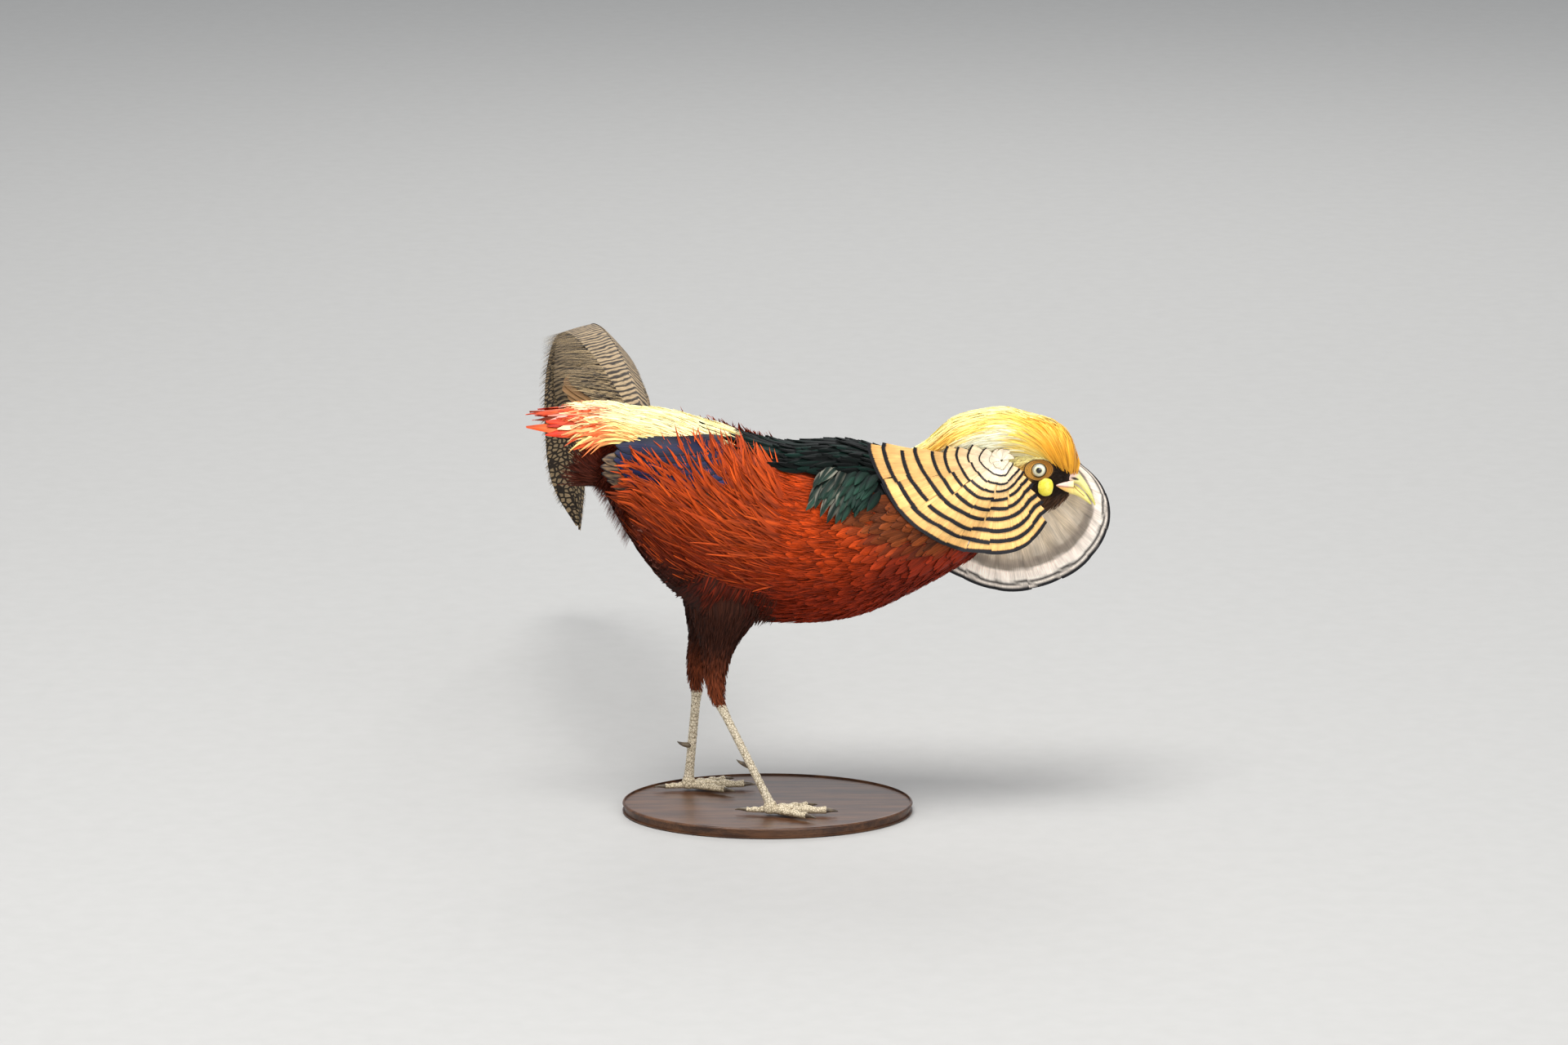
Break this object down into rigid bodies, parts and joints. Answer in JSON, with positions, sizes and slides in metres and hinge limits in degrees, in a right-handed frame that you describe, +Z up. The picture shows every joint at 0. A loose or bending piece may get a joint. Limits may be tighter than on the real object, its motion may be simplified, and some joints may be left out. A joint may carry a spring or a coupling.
{
  "type": "golden pheasant model",
  "caption": "Life-size still model of an adult male golden pheasant standing in sideways display, cape fanned and tail swept round.",
  "frame": {"origin": "on the floor under the middle of the whole bird's box", "axes": "+X towards the bill, +Y to the bird's left, the way the tail is swept, +Z up"},
  "size_m": [0.4222, 0.6354, 0.3059],
  "materials": {
    "base_wood": "dark satin wood",
    "bill_horn": "smooth horn, slightly glossy",
    "claw_horn": "dark horn",
    "eye_iris": "wet, glossy, cream iris with a small black pupil",
    "head_plumage": "silky golden crest over the crown",
    "leg_scales": "dry horny scutes",
    "plumage_blue": "satin blue-black and brown wing feathers",
    "plumage_dark": "matte dark maroon-brown thigh feathers",
    "plumage_gold": "smooth orange-gold feathers with blue-black bars and edges",
    "plumage_red": "matte, fine hair-like barbs with a slight sheen",
    "plumage_tail": "buff and dark barred tail feathers",
    "plumage_yellow": "silky, slightly glossy hair-like feathers",
    "wattle_skin": "bare yellow skin, finely wrinkled"
  },
  "bodies": {
    "root": {"bill_lower": "bill_horn", "bill_upper": "bill_horn", "claw_left_hind": "claw_horn", "claw_left_inner": "claw_horn", "claw_left_middle": "claw_horn", "claw_left_outer": "claw_horn", "claw_right_hind": "claw_horn", "claw_right_inner": "claw_horn", "claw_right_middle": "claw_horn", "claw_right_outer": "claw_horn", "eye_left": "eye_iris", "eye_right": "eye_iris", "foot_left": "leg_scales", "foot_right": "leg_scales", "head": "head_plumage", "neck_left": "plumage_gold", "neck_right": "plumage_gold", "rump": "plumage_yellow", "shank_left": "leg_scales", "shank_right": "leg_scales", "stand_base": "base_wood", "tail": "plumage_tail", "tail_middle": "plumage_tail", "tail_tip": "plumage_tail", "thigh_left": "plumage_dark", "thigh_right": "plumage_dark", "torso": "plumage_red", "wattle_left": "wattle_skin", "wattle_right": "wattle_skin", "wing_left": "plumage_blue", "wing_right": "plumage_blue"}
  },
  "joints": []
}
